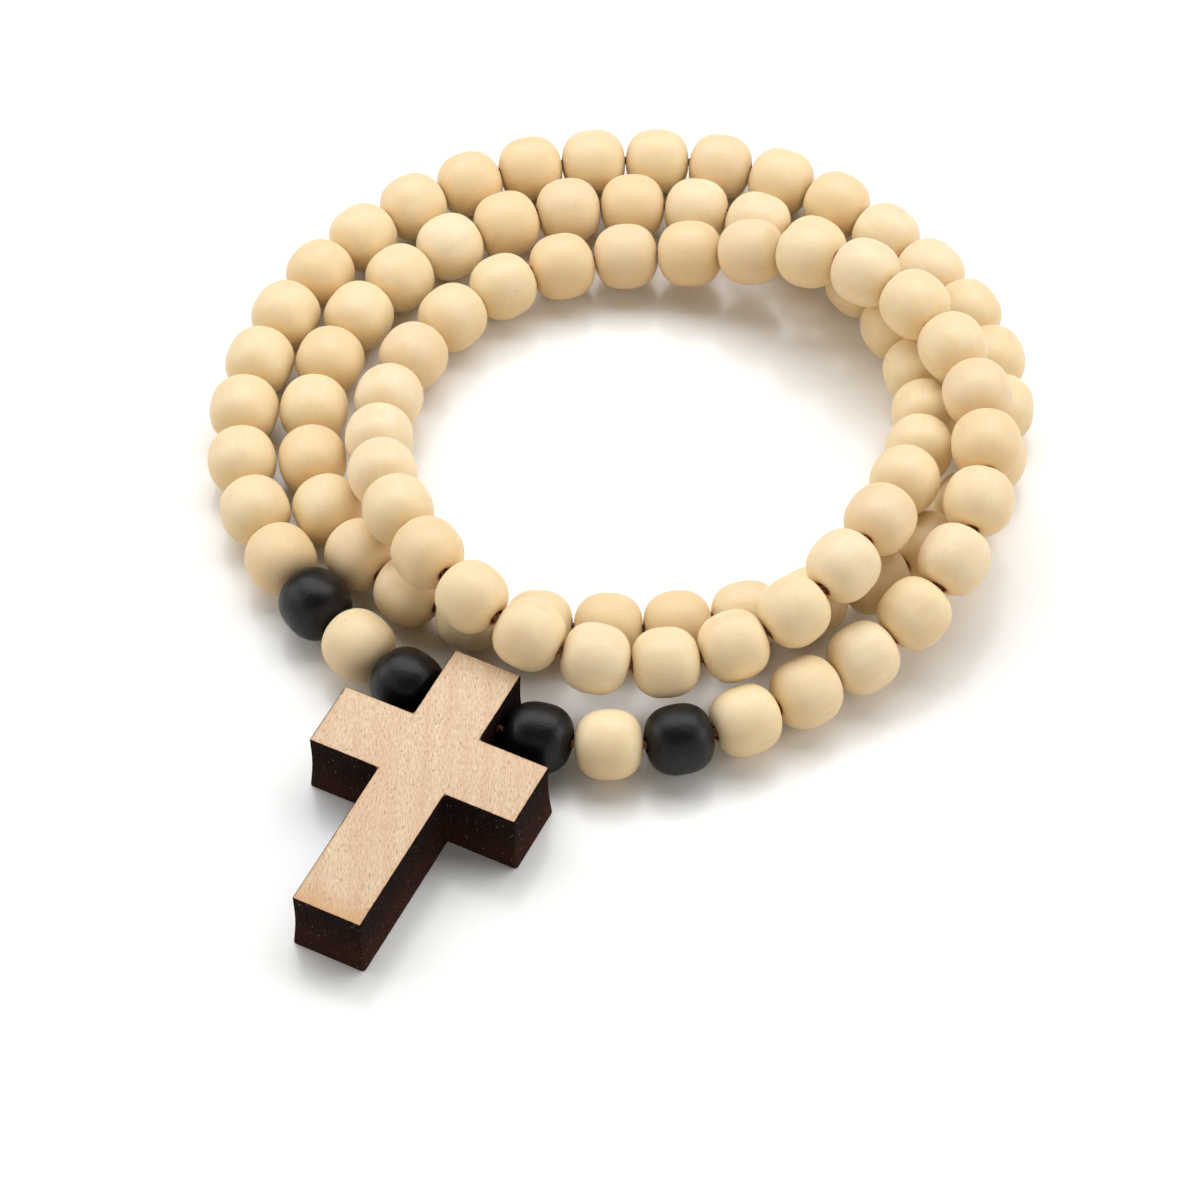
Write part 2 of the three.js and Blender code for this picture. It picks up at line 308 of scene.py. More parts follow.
class CordSettings(bpy.types.PropertyGroup):
    """The twisted cord and the knot that closes it."""

    strands: IntProperty(name="Strands", description="Twisted together", default=3, min=2, max=6)
    lay: length_property("Lay", "Length of one whole twist of the cord", 2.4)
    groove: length_property("Groove", "How deep the strands part", 0.14)
    bend_reach: length_property("Bend reach", "From a gap to its bend's start", 0.9)
    light: colour_property("Light", "The yarn's lit fibres", 176, 132, 88)
    # The colour of painted shade in the grooves between strands, and of the yarn's darker fibres.
    groove_shade_and_fibres: colour_property("Dark", "The grooves between strands", 104, 62, 32)


class BeadSettings(bpy.types.PropertyGroup):
    """What all ninety beads share."""

    smallest: share_property("Smallest", "The smallest bead's share of the full width", 0.98)
    largest: share_property("Largest", "The largest bead's share of the full width", 0.998)
    clearance: length_property("Clearance", "Between neighbours at their closest", 0.02)
    rim: length_property("Rim", "Rounding at the bore's mouth", 0.12)
    unevenness: length_property("Unevenness", "How far the surface is out of true", 0.018)
    seed: IntProperty(name="Seed", description="Of each bead's size and grain", default=11)


class PaleWoodSettings(bpy.types.PropertyGroup):
    """The finish of the plain wooden beads."""

    cream: colour_property("Cream", "Most beads", 248, 229, 190)
    tan: colour_property("Tan", "The yellower, darker beads", 245, 221, 179)
    pink: colour_property("Pink", "The pinkish beads", 244, 223, 187)
    light: colour_property("Light", "The palest beads", 252, 235, 202)
    # Bore: the darker, redder colour in and around each bead's bore.
    bore: colour_property("Bore", "The scorched wall of the bore", 214, 138, 82)


class BlackLacquerSettings(bpy.types.PropertyGroup):
    """The finish of the black beads."""

    black: colour_property("Black", "The lacquer", 11, 10, 13)
    rubbed: colour_property("Rubbed", "Where the lacquer is thin", 23, 21, 24)


class CrossSettings(bpy.types.PropertyGroup):
    """The flat cross, sawn from a plank with a burning cut."""

    inner_corner: length_property("Inner corner", "Radius between stem and bar", 0.45)
    outer_corner: length_property("Outer corner", "Radius of the arms' upright edges", 0.14)
    edge: length_property("Edge", "Width of the scorched bevel", 0.09)
    waist: length_property("Waist", "How far the cut bows into the sides", 0.2)
    flare: length_property("Flare", "How much wider the underside is", 0.3)
    scorch_reach: length_property("Scorch reach", "How far the edges' tint spreads", 0.5)
    grain_turn: angle_property("Grain turn", "Of the plank's grain from the stem", 25)
    pale: colour_property("Pale", "The lighter grain", 235, 212, 180)
    pink: colour_property("Pink", "The pinker bands of the plank", 229, 198, 167)
    deep: colour_property("Deep", "The darker grain", 196, 157, 124)
    toasted: colour_property("Toasted", "The tint along the outline", 212, 158, 104)
    burnt: colour_property("Burnt", "The charred sides", 22, 15, 14)
    russet: colour_property("Russet", "The sides' less charred parts", 64, 38, 31)


class StageSettings(bpy.types.PropertyGroup):
    """The table and the studio light."""

    floor: colour_property("Floor", "The table, as it lights the beads", 224, 209, 188)
    backdrop: colour_property("Backdrop", "The table, as it is seen", 255, 255, 254)
    softbox_power: power_property("Softbox", 9.1)
    softbox_height: angle_property("Softbox height", "Above the horizon behind the beads", 60)
    left_power: power_property("Left lamp", 2)
    right_power: power_property("Right lamp", 2)
    walls: quantity("Walls", "Light from the walls in front", 0.99)


# ---- node helpers


def set_all(thing, **values):
    for name, value in values.items():
        setattr(thing, name, value)


def add_node(tree, kind, inputs=None, **settings):
    """A new node, set up and fed with values or with other nodes' outputs."""
    made = tree.nodes.new("ShaderNode" + kind)
    set_all(made, **settings)
    for name, value in (inputs or {}).items():
        socket = made.inputs[name]
        if isinstance(value, bpy.types.NodeSocket):
            tree.links.new(value, socket)
        elif socket.type == "RGBA" and len(value) == 3:
            socket.default_value = (*value, 1)
        else:
            socket.default_value = value
    return made


def mix(tree, factor, first, second):
    """The colour between two others."""
    return add_node(tree, "Mix", {0: factor, 6: first, 7: second}, data_type="RGBA").outputs[2]


def maths(tree, operation, first, second=0, clamp=False):
    made = add_node(tree, "Math", {0: first, 1: second}, operation=operation, use_clamp=clamp)
    return made.outputs[0]


def times(tree, first, second):
    return maths(tree, "MULTIPLY", first, second)


def fade(tree, value, start, end, low=0, high=1):
    """A value turned smoothly from low at start to high at end."""
    limits = {"From Min": start, "From Max": end, "To Min": low, "To Max": high}
    made = add_node(tree, "MapRange", {"Value": value, **limits}, interpolation_type="SMOOTHSTEP")
    return made.outputs["Result"]


def layered(tree, body, *layers):
    """A colour with tints laid over it, each through a mask or where a value fades in."""
    for tint, value, *limits in layers:
        body = mix(tree, fade(tree, value, *limits) if limits else value, body, tint)
    return body


def attribute(tree, name, output="Vector"):
    return add_node(tree, "Attribute", attribute_name=name).outputs[output]


def speckle(tree, place, scale=1, detail=2, roughness=0.5, distortion=0):
    """Noise from 0 to 1 that follows a place, with about `scale` blots to a unit."""
    return add_node(tree, "TexNoise", {
        "Vector": place, "Scale": scale, "Detail": detail, "Roughness": roughness,
        "Distortion": distortion,
    }).outputs["Fac"]


def stretched(tree, place, across, along):
    """A place squeezed so that noise on it has grains of a width and a length."""
    squeeze = (1 / across, 1 / across, 1 / along)
    made = add_node(tree, "VectorMath", {0: place, 1: squeeze}, operation="MULTIPLY")
    return made.outputs["Vector"]


def parts_of(tree, place):
    """A place's X, Y and Z."""
    return add_node(tree, "SeparateXYZ", {"Vector": place}).outputs


def new_group(name, numbers, outputs):
    """An empty group that takes a place and numbers: its sockets inside, and its node tree."""
    group = bpy.data.node_groups.new(name, "ShaderNodeTree")
    add_socket = group.interface.new_socket
    add_socket("Place", in_out="INPUT", socket_type="NodeSocketVector")
    for number, default in numbers.items():
        socket = add_socket(number, in_out="INPUT", socket_type="NodeSocketFloat")
        socket.default_value = default
    for output in outputs:
        add_socket(output, in_out="OUTPUT", socket_type="NodeSocketFloat")
    given = group.nodes.new("NodeGroupInput")
    result = group.nodes.new("NodeGroupOutput")
    return given.outputs, result.inputs, group


def place_group(tree, name, **inputs):
    """A shared group placed in a material; fibre_width feeds its Fibre Width, and so on."""
    sockets = {key.replace("_", " ").title(): value for key, value in inputs.items()}
    group = bpy.data.node_groups[name]
    return add_node(tree, "Group", sockets, node_tree=group).outputs


def new_material(name, inputs):
    """A material with one Principled shader set to values, its node tree and its sockets."""
    material = bpy.data.materials.new(name)
    material.use_nodes = True
    tree = material.node_tree
    shader = tree.nodes["Principled BSDF"].inputs
    for socket, value in inputs.items():
        shader[socket].default_value = value
    return material, tree, shader


def feed(tree, socket, value):
    tree.links.new(value, socket)


def bump(tree, height, distance):
    inputs = {"Height": height, "Distance": distance, "Strength": 1}
    return add_node(tree, "Bump", inputs).outputs["Normal"]


def finish_shader(tree, shader, body, surface, height, depth):
    """Feeds a shader its colour, its surface's roughness and its bumps."""
    feed(tree, shader["Base Color"], body)
    feed(tree, shader["Roughness"], surface["Roughness"])
    feed(tree, shader["Normal"], bump(tree, height, depth))


# ---- effects that finishes share

RING_STRETCH = 14  # a ring's length in its widths
PORE_WIDTH, PORE_LENGTH = 1.6, 7  # in fibre widths
PORELESS, PORE_GAIN = 0.86, 0.3
PORE_CONTRAST = 14


def wood_figure():
    """Fibres, growth rings, pores and blotches of a piece of wood, along its grain's Z."""
    given, result, group = new_group(
        "Wood figure",
        {"Fibre Width": 0.1, "Fibre Length": 2, "Ring Width": 1, "Pore Share": 0.3},
        ("Fibres", "Rings", "Pores", "Blotches"),
    )
    place = given["Place"]

    def along_grain(width, length):
        size = add_node(group, "CombineXYZ", {"X": width, "Y": width, "Z": length})
        made = add_node(group, "VectorMath", {0: place, 1: size.outputs[0]}, operation="DIVIDE")
        return made.outputs["Vector"]

    fibres = along_grain(given["Fibre Width"], given["Fibre Length"])
    feed(group, result["Fibres"], speckle(group, fibres, detail=3, roughness=0.65))

    ring_length = times(group, given["Ring Width"], RING_STRETCH)
    rings = along_grain(given["Ring Width"], ring_length)
    feed(group, result["Rings"], speckle(group, rings, detail=1, distortion=0.4))

    pore_width = times(group, given["Fibre Width"], PORE_WIDTH)
    pore_length = times(group, given["Fibre Width"], PORE_LENGTH)
    pores = speckle(group, along_grain(pore_width, pore_length), detail=0)
    lowered = times(group, given["Pore Share"], PORE_GAIN)
    depth = maths(group, "SUBTRACT", pores, maths(group, "SUBTRACT", PORELESS, lowered))
    feed(group, result["Pores"], maths(group, "MULTIPLY", depth, PORE_CONTRAST, clamp=True))

    feed(group, result["Blotches"], speckle(group, place, 0.35))


def handled_surface():
    """Fine unevenness and dull patches of a surface that hands have touched."""
    given, result, group = new_group(
        "Handled surface", {"Roughness": 0.45, "Patchiness": 0.1}, ("Roughness", "Height"),
    )
    patches = speckle(group, given["Place"], 0.9, detail=3, roughness=0.6)
    centred = maths(group, "SUBTRACT", patches, 0.5)
    change = times(group, centred, given["Patchiness"])
    feed(group, result["Roughness"], maths(group, "ADD", given["Roughness"], change))
    dents = speckle(group, given["Place"], 2.2, detail=4, roughness=0.55)
    feed(group, result["Height"], dents)


# ---- mesh helpers

SMOOTH_ANGLE = math.radians(20)


def link_object(name, data):
    made = bpy.data.objects.new(name, data)
    bpy.context.scene.collection.objects.link(made)
    return made


def add_object(name, shape):
    """An object made of a shape."""
    mesh = bpy.data.meshes.new(name)
    shape.to_mesh(mesh)
    shape.free()
    return link_object(name, mesh)


def make_piece(name, shape, materials, body, slot, *replaced):
    """An object that rides on a body and stands for CAD nodes."""
    piece = add_object(name, shape)
    for material in materials:
        piece.data.materials.append(material)
    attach(piece, body)
    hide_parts(*replaced)
    return piece


def finished_shape(piece, *tools):
    """An object's shape under its modifiers. It and its tools are removed."""
    finished = piece.evaluated_get(bpy.context.evaluated_depsgraph_get())
    shape = bmesh.new()
    shape.from_mesh(finished.to_mesh())
    for used in (piece, *tools):
        mesh = used.data
        bpy.data.objects.remove(used)
        bpy.data.meshes.remove(mesh)
    return shape


def outline_in_xz(shape, points):
    """A closed outline of (radius, height) points in the XZ plane."""
    corners = [shape.verts.new((radius, 0, height)) for radius, height in points]
    edges = [shape.edges.new(pair) for pair in zip(corners, corners[1:] + corners[:1])]
    return corners + edges


def sweep_round(shape, geometry, steps, rise=0, merge=False):
    """Sweeps edges once round Z, and up by a rise at each step."""
    bmesh.ops.spin(
        shape, geom=geometry, cent=(0, 0, 0), axis=(0, 0, 1), dvec=(0, 0, rise),
        angle=math.tau, steps=steps, use_merge=merge, use_duplicate=False,
    )


def turn_on_lathe(shape, points, steps):
    """Turns a closed outline about Z into a ring-shaped solid."""
    sweep_round(shape, outline_in_xz(shape, points), steps, merge=True)
    bmesh.ops.remove_doubles(shape, verts=shape.verts, dist=0.001 * MM)
    bmesh.ops.recalc_face_normals(shape, faces=shape.faces)


def bevel(shape, edges, width, segments):
    bmesh.ops.bevel(
        shape, geom=edges, offset=width, offset_type="OFFSET", segments=segments,
        profile=0.5, affect="EDGES", material=-1,
    )


def shade_smooth(shape, sharpest=math.pi):
    """Smooth faces, parted where two of them meet at more than an angle."""
    for face in shape.faces:
        face.smooth = True
    for edge in shape.edges:
        edge.smooth = edge.calc_face_angle(0) <= sharpest


def keep(shape, name, kind, value_of):
    """Keeps a value on every point of a shape, for its finish."""
    layer = getattr(shape.verts.layers, kind).new(name)
    for vertex in shape.verts:
        vertex[layer] = value_of(vertex)


def keep_place(shape, name, placed=lambda place: place):
    """Keeps each point's place, in millimetres, as it is or placed on its grain."""
    keep(shape, name, "float_vector", lambda vertex: placed(vertex.co / MM))


def from_axis(axis, centre):
    """The placement that turns +Z to an axis and the origin to a centre."""
    turn = Vector(axis).to_track_quat("Z", "Y").to_matrix().to_4x4()
    return Matrix.Translation(centre) @ turn


def arc(centre, radius, start, end, steps):
    """Points on an arc from one angle to another, both included, in degrees."""
    for step in range(steps + 1):
        angle = math.radians(start + (end - start) * step / steps)
        yield centre[0] + radius * math.cos(angle), centre[1] + radius * math.sin(angle)


# ---- the cord and its knot

BEND_STEPS = 6
ROPE_SIDES = 18
ROPE_STEPS_PER_TWIST = 12


def rounded_line(points, reach):
    """A line through points, with each corner between two of them rounded off."""
    line = [points[0]]
    for before, here, after in zip(points, points[1:], points[2:]):
        start = here + unit(before - here) * reach
        end = here + unit(after - here) * reach
        for step in range(BEND_STEPS + 1):
            share = step / BEND_STEPS
            line.append(
                start * (1 - share) ** 2 + here * 2 * share * (1 - share) + end * share ** 2
            )
    return np.array([*line, points[-1]])


def carried_frames(line):
    """A pair of cross directions at each point of a line, carried along it without twist."""
    tangents = units(np.gradient(line, axis=0))
    side = unit(np.cross(tangents[0], (0, 0, 1)))
    sides = []
    for tangent in tangents:
        side = unit(side - tangent * (side @ tangent))
        sides.append(side)
    return np.array(sides), np.cross(tangents, sides)


def bend_along(shape, line):
    """Bends a shape that stands along +Z so that it follows a line."""
    lengths = norm(np.diff(line, axis=0), axis=1)
    stations = np.concatenate([[0], np.cumsum(lengths)])
    sides, ups = carried_frames(line)
    places = np.array([vertex.co for vertex in shape.verts])

    def at(values):
        return np.stack([np.interp(places[:, 2], stations, column) for column in values.T], 1)

    bent = at(line) + at(sides) * places[:, :1] + at(ups) * places[:, 1:2]
    for vertex, place in zip(shape.verts, bent):
        vertex.co = place


def twisted_rope(radius, length, strands, lay, groove):
    """A straight rope of twisted strands, standing along +Z."""
    shape = bmesh.new()
    bmesh.ops.create_circle(shape, segments=ROPE_SIDES, radius=radius)
    for vertex in shape.verts:
        angle = math.atan2(vertex.co.y, vertex.co.x)
        vertex.co *= 1 - groove / radius * (1 - abs(math.cos(angle * strands / 2)))
    twists = round(length / lay)
    rise = length / twists / ROPE_STEPS_PER_TWIST
    sweep_round(shape, [*shape.verts, *shape.edges], ROPE_STEPS_PER_TWIST, rise)
    one_twist = add_object("one_twist", shape)
    repeat = one_twist.modifiers.new("Twists", "ARRAY")
    set_all(
        repeat, count=twists, use_relative_offset=False, use_constant_offset=True,
        constant_offset_displace=(0, 0, length / twists), use_merge_vertices=True,
        merge_threshold=0.01 * MM,
    )
    rope = finished_shape(one_twist)
    open_edges = [edge for edge in rope.edges if edge.is_boundary]
    bmesh.ops.holes_fill(rope, edges=open_edges, sides=0)
    bmesh.ops.recalc_face_normals(rope, faces=rope.faces)
    return rope


def yarn_finish(settings):
    """Light twisted fibres, with painted shade in the grooves between strands."""
    material, tree, shader = new_material("Twisted cord", {"Roughness": 0.85})
    place = attribute(tree, "rope_place")
    height = attribute(tree, "rope_height", "Fac")
    fibres = speckle(tree, stretched(tree, place, 0.05, 0.5))
    # Painted shade: the yarn grows darker towards the bottom of each groove between strands.
    yarn = mix(tree, fade(tree, height, 0, 0.8), settings.groove_shade_and_fibres, settings.light)
    shaded = mix(tree, times(tree, fibres, 0.5), yarn, settings.groove_shade_and_fibres)
    feed(tree, shader["Base Color"], shaded)
    feed(tree, shader["Normal"], bump(tree, fibres, 0.04 * MM))
    return material


def note_rope_place(shape, radius, groove):
    """Keeps each point's place on the straight rope, and its height over the grooves, the mask of
    the yarn's painted groove shade.
    """
    keep_place(shape, "rope_place")
    keep(shape, "rope_height", "float", lambda vertex: 1 - (radius - vertex.co.xy.length) / groove)


class PRAYERBEADS_OT_cord(bpy.types.Operator):
    """Lays the twisted cord through every bead, from the cross and back to it"""

    bl_idname = "prayerbeads.cord"
    bl_label = "Cord"

    def execute(self, context):
        settings = context.scene.cord_settings
        end_reach = ACROSS_CROSS * (KNOT_LENGTH / 2 + CORD_TO_KNOT)
        points = [BORE_CENTRE - end_reach, *CORD_POINTS, BORE_CENTRE + end_reach]
        line = rounded_line(np.array(points), settings.bend_reach)
        length = norm(np.diff(line, axis=0), axis=1).sum()
        radius = CORD_DIAMETER / 2
        shape = twisted_rope(radius, length, settings.strands, settings.lay, settings.groove)
        note_rope_place(shape, radius, settings.groove)
        bend_along(shape, line)
        shade_smooth(shape)
        rope = make_piece("twisted_cord", shape, [yarn_finish(settings)], "strand", "cord", "cord")
        return {"FINISHED"}


KNOT_COILS = 4
KNOT_HOLE = 0.3 * MM
KNOT_END = 0.1 * MM
COIL_ARC = -80, 80


class PRAYERBEADS_OT_knot(bpy.types.Operator):
    """Ties the cord's two ends together inside the cross"""

    bl_idname = "prayerbeads.knot"
    bl_label = "Knot"

    def execute(self, context):
        settings = context.scene.cord_settings
        shape = bmesh.new()
        coil_radius = KNOT_LENGTH / KNOT_COILS / 2
        widest, end = KNOT_DIAMETER / 2, KNOT_LENGTH / 2 - KNOT_END
        outline = [(KNOT_HOLE, -end)]
        for coil in range(KNOT_COILS):
            middle = (widest - coil_radius, (2 * coil + 1 - KNOT_COILS) * coil_radius)
            outline += arc(middle, coil_radius, *COIL_ARC, 8)
        turn_on_lathe(shape, [*outline, (KNOT_HOLE, end)], 32)
        # The knot's coils take the yarn's painted shade between them.
        note_rope_place(shape, widest, 2 * settings.groove)
        shape.transform(from_axis(ACROSS_CROSS, BORE_CENTRE))
        shade_smooth(shape)
        finish = bpy.data.materials["Twisted cord"]
        make_piece("wound_knot", shape, [finish], "strand", "cord", "cord_knot")
        return {"FINISHED"}


# ---- the beads

BEAD_SIDES = 56
BEAD_BANDS = 26
RIM_STEPS = 4
BORE_BANDS = 3
TOUCHES_TABLE = 0.05 * MM
DENTS_PER_MM = 0.4


def bead_outline(radius, half_length, fullness, rim):
    """(radius, height) points up a bead's outside and down through its bore."""
    power = 2 / fullness
    mouth = BEAD_BORE_RADIUS + rim
    widest_angle = math.acos((mouth / radius) ** (1 / power))
    outside = []
    for step in range(BEAD_BANDS + 1):
        angle = widest_angle * (2 * step / BEAD_BANDS - 1)
        height = math.copysign(abs(math.sin(angle)) ** power, angle)
        outside.append((radius * math.cos(angle) ** power, half_length * height))
    end = outside[-1][1]
    upper_rim = list(arc((mouth, end - rim), rim, 90, 180, RIM_STEPS))[1:]
    lower_rim = [(across, -height) for across, height in reversed(upper_rim)]
    bore = [
        (BEAD_BORE_RADIUS, (end - rim) * (1 - 2 * step / BORE_BANDS))
        for step in range(1, BORE_BANDS)
    ]
    return outside + upper_rim + bore + lower_rim


def half_length_between(radius, bend, clearance):
    """Half the length of a bead that just clears its neighbour where the cord bends."""
    room = (PITCH * math.cos(bend / 2) - clearance) / 2
    across = radius * math.sin(bend / 2)
    along = (room ** REACH_POWER - across ** REACH_POWER) ** (1 / REACH_POWER)
    return along / math.cos(bend / 2)


def bead_shape(chance, settings, radius, half_length):
    """A bored bead about +Z, a little out of true, with its grain's place kept on it."""
    shape = bmesh.new()
    fullness = BEAD_FULLNESS * chance.uniform(0.97, 1.03)
    rim = settings.rim * chance.uniform(0.7, 1.2)
    turn_on_lathe(shape, bead_outline(radius, half_length, fullness, rim), BEAD_SIDES)

    tilt = Matrix.Rotation(chance.uniform(0, 0.15), 3, "X")
    roll = Matrix.Rotation(chance.uniform(0, math.tau), 3, "Z")
    shift = Vector([chance.uniform(-200, 200) for _ in range(3)])
    keep_place(shape, "bead_place")
    keep_place(shape, "grain_place", lambda place: tilt @ roll @ place + shift)
    for vertex in shape.verts:
        if vertex.co.xy.length > BEAD_BORE_RADIUS + settings.rim:
            dent = noise.noise(vertex.co / MM * DENTS_PER_MM + shift) - 0.5
            vertex.co += vertex.normal * settings.unevenness * dent
    return shape


def bead_home(number):
    """The body that a bead rides on and the CAD node that it stands for."""
    if FIRST_RUN_BEAD <= number <= LAST_RUN_BEAD:
        first = number - (number - FIRST_RUN_BEAD) % BEADS_IN_RUN
        return "strand", f"beads_{first:02}_to_{first + BEADS_IN_RUN - 1:02}"
    own = f"bead_{number:02}"
    if number in BLACK_BEADS:
        own = f"black_bead_{BLACK_BEADS.index(number) + 1}"
    return own, own


def tinted_bore(tree, finish, bore):
    """A finish that gives way to a darker, redder colour in and around a bead's bore."""
    place = parts_of(tree, attribute(tree, "bead_place"))
    squares = [maths(tree, "POWER", place[way], 2) for way in ("X", "Y")]
    reach = maths(tree, "SQRT", maths(tree, "ADD", *squares))
    bore_radius = BEAD_BORE_RADIUS / MM
    inside = fade(tree, reach, bore_radius + 0.42, bore_radius + 0.06)
    return mix(tree, inside, finish, bore)


def pale_wood_finish(settings):
    """Fine-grained pale wood, polished smooth, of each bead's batch."""
    material, tree, shader = new_material("Pale wood", {
        "Roughness": 0.45, "Specular IOR Level": 0.28, "Coat Weight": 0.12, "Coat Roughness": 0.2,
        "Subsurface Weight": 0.3, "Subsurface Radius": (1, 0.5, 0.2), "Subsurface Scale": 1 * MM,
    })
    batch = attribute(tree, "batch", "Fac")
    place = attribute(tree, "grain_place")
    wood = place_group(
        tree, "Wood figure", place=place, fibre_width=0.14, fibre_length=5, ring_width=1.3,
        pore_share=0.03,
    )
    surface = place_group(tree, "Handled surface", place=place, roughness=0.47, patchiness=0.14)
    own_tone = attribute(tree, "own_tone", "Fac")
    blotches = times(tree, fade(tree, wood["Blotches"], 0.3, 0.75), own_tone)
    body = layered(
        tree, settings.cream,
        (settings.tan, batch, 0, 1),
        (settings.pink, batch, 1, 2),
        (settings.light, batch, 2, 3),
        (colour(232, 198, 148), wood["Rings"], 0.3, 0.7, 0, 0.16),
        (colour(229, 199, 150), wood["Fibres"], 0.35, 0.65, 0, 0.25),
        (colour(240, 211, 166), blotches),
        (colour(176, 132, 90), times(tree, wood["Pores"], 0.4)),
    )
    body = tinted_bore(tree, body, settings.bore)
    finish_shader(tree, shader, body, surface, surface["Height"], 0.03 * MM)
    return material


def black_lacquer_finish(settings):
    """Satin black lacquer, thinner here and there, over the wood's fibres."""
    material, tree, shader = new_material("Black lacquer", {
        "Roughness": 0.41, "Specular IOR Level": 0.26, "Coat Weight": 0.13,
        "Coat Roughness": 0.26,
    })
    place = attribute(tree, "grain_place")
    surface = place_group(tree, "Handled surface", place=place, roughness=0.41, patchiness=0.16)
    wood = place_group(
        tree, "Wood figure", place=place, fibre_width=0.2, fibre_length=2.5, pore_share=0.3,
    )
    thin = fade(tree, speckle(tree, place, 0.8, detail=4), 0.5, 0.8)
    body = mix(tree, thin, settings.black, settings.rubbed)
    fibres = times(tree, wood["Fibres"], 0.5)
    height = maths(tree, "ADD", surface["Height"], fibres)
    finish_shader(tree, shader, body, surface, height, 0.06 * MM)
    return material


BATCHES = (TAN_BEADS, PINK_BEADS, LIGHT_BEADS)


def make_beads(context, black, prefix, finish, slot):
    """Makes the black beads, or all the others, each as its own piece."""
    settings = context.scene.bead_settings
    chance = random.Random(settings.seed + black)
    centres, axes = threaded(CORD_POINTS)
    bends = [math.acos(before @ after) for before, after in zip(axes, axes[1:])]
    for number, (centre, axis) in enumerate(zip(centres, axes), start=1):
        if (number in BLACK_BEADS) != black:
            continue
        radius = BEAD_RADIUS * chance.uniform(settings.smallest, settings.largest)
        bend = max(bends[max(number - 2, 0):number])
        half_length = half_length_between(radius, bend, settings.clearance)
        if centre[2] - bead_reach(axis[2]) < TOUCHES_TABLE:
            centre = centre - (0, 0, BEAD_RADIUS - radius)
        shape = bead_shape(chance, settings, radius, half_length)
        batch = next((i for i, beads in enumerate(BATCHES, start=1) if number in beads), 0)
        own_tone = chance.uniform(0.1, 0.5)
        keep(shape, "batch", "float", lambda vertex, batch=batch: batch)
        keep(shape, "own_tone", "float", lambda vertex, tone=own_tone: tone)
        shape.transform(from_axis(axis, centre))
        shade_smooth(shape)
        body, node = bead_home(number)
        make_piece(f"{prefix}_{number:02}", shape, [finish], body, slot, node)


class PRAYERBEADS_OT_pale_beads(bpy.types.Operator):
    """Turns the plain wooden beads and threads them on the cord"""

    bl_idname = "prayerbeads.pale_beads"
    bl_label = "Pale beads"

    def execute(self, context):
        finish = pale_wood_finish(context.scene.wood_settings)
        make_beads(context, False, "pale_bead", finish, "pale_wood")
        return {"FINISHED"}


class PRAYERBEADS_OT_black_beads(bpy.types.Operator):
    """Turns the four black beads that lie on both sides of the cross"""

    bl_idname = "prayerbeads.black_beads"
    bl_label = "Black beads"

    def execute(self, context):
        finish = black_lacquer_finish(context.scene.lacquer_settings)
        make_beads(context, True, "lacquered_bead", finish, "black_lacquer")
        return {"FINISHED"}


# ---- the cross

WAIST_CUTS = 8
BORE_SIDES = 48


def cross_board(settings):
    """The cross about its bore, with rounded corners and sides that the cut bowed in."""
    stem, arm, half = STEM_WIDTH / 2, CROSS_WIDTH / 2, CROSS_THICKNESS / 2
    right = [
        (stem, CROSS_FOOT), (stem, BAR_BOTTOM), (arm, BAR_BOTTOM), (arm, BAR_TOP),
        (stem, BAR_TOP), (stem, CROSS_TOP),
    ]
    left = [(-across, along) for across, along in reversed(right)]
    shape = bmesh.new()
    underside = shape.faces.new([shape.verts.new((x, y, -half)) for x, y in right + left])
    made = bmesh.ops.extrude_face_region(shape, geom=[underside])["geom"]
    upper = [part for part in made if isinstance(part, bmesh.types.BMVert)]
    bmesh.ops.translate(shape, verts=upper, vec=(0, 0, CROSS_THICKNESS))
    bmesh.ops.recalc_face_normals(shape, faces=shape.faces)

    for inner, radius in ((True, settings.inner_corner), (False, settings.outer_corner)):
        upright = [
            edge for edge in shape.edges
            if abs(edge.verts[0].co.z - edge.verts[1].co.z) > half and edge.is_convex != inner
        ]
        bevel(shape, upright, radius, 5)
    for cut in range(1, WAIST_CUTS):
        height = CROSS_THICKNESS * cut / WAIST_CUTS - half
        bmesh.ops.bisect_plane(
            shape, geom=[*shape.verts, *shape.edges, *shape.faces],
            plane_co=(0, 0, height), plane_no=(0, 0, 1),
        )
    shape.normal_update()
    for vertex in shape.verts:
        height = vertex.co.z / half
        sideways = Vector((*vertex.normal.xy, 0)).normalized()
        waist = settings.waist * max(math.cos(height * math.pi / 2), 0) ** 1.2
        vertex.co += sideways * (settings.flare * (1 - height) / 2 - waist)
    rims = [
        edge for edge in shape.edges
        if edge.calc_face_angle(0) > 1 and abs(abs(edge.verts[0].co.z) - half) < 1e-6
        and abs(edge.verts[0].co.z - edge.verts[1].co.z) < 1e-6
    ]
    bevel(shape, rims, settings.edge, 3)
    return shape


def bore_through(shape):
    """Drills the cord's way through the stem, from side to side."""
    drill = bmesh.new()
    bmesh.ops.create_cone(
        drill, cap_ends=True, segments=BORE_SIDES, radius1=CROSS_BORE_RADIUS,
        radius2=CROSS_BORE_RADIUS, depth=2 * STEM_WIDTH,
        matrix=Matrix.Rotation(math.pi / 2, 4, "Y"),
    )
    board, cutter = add_object("board", shape), add_object("drill", drill)
    cut = board.modifiers.new("Bore", "BOOLEAN")
    cut.object, cut.operation, cut.solver = cutter, "DIFFERENCE", "EXACT"
    return finished_shape(board, cutter)


def part_faces_from_sides(shape):
    """Gives the sides their own finish, and keeps each point's place on the cross."""
    half = CROSS_THICKNESS / 2
    for face in shape.faces:
        level = abs(abs(face.calc_center_median().z) - half) < 0.001 * MM
        face.material_index = 0 if level and abs(face.normal.z) > 0.99 else 1
    keep_place(shape, "cross_place")


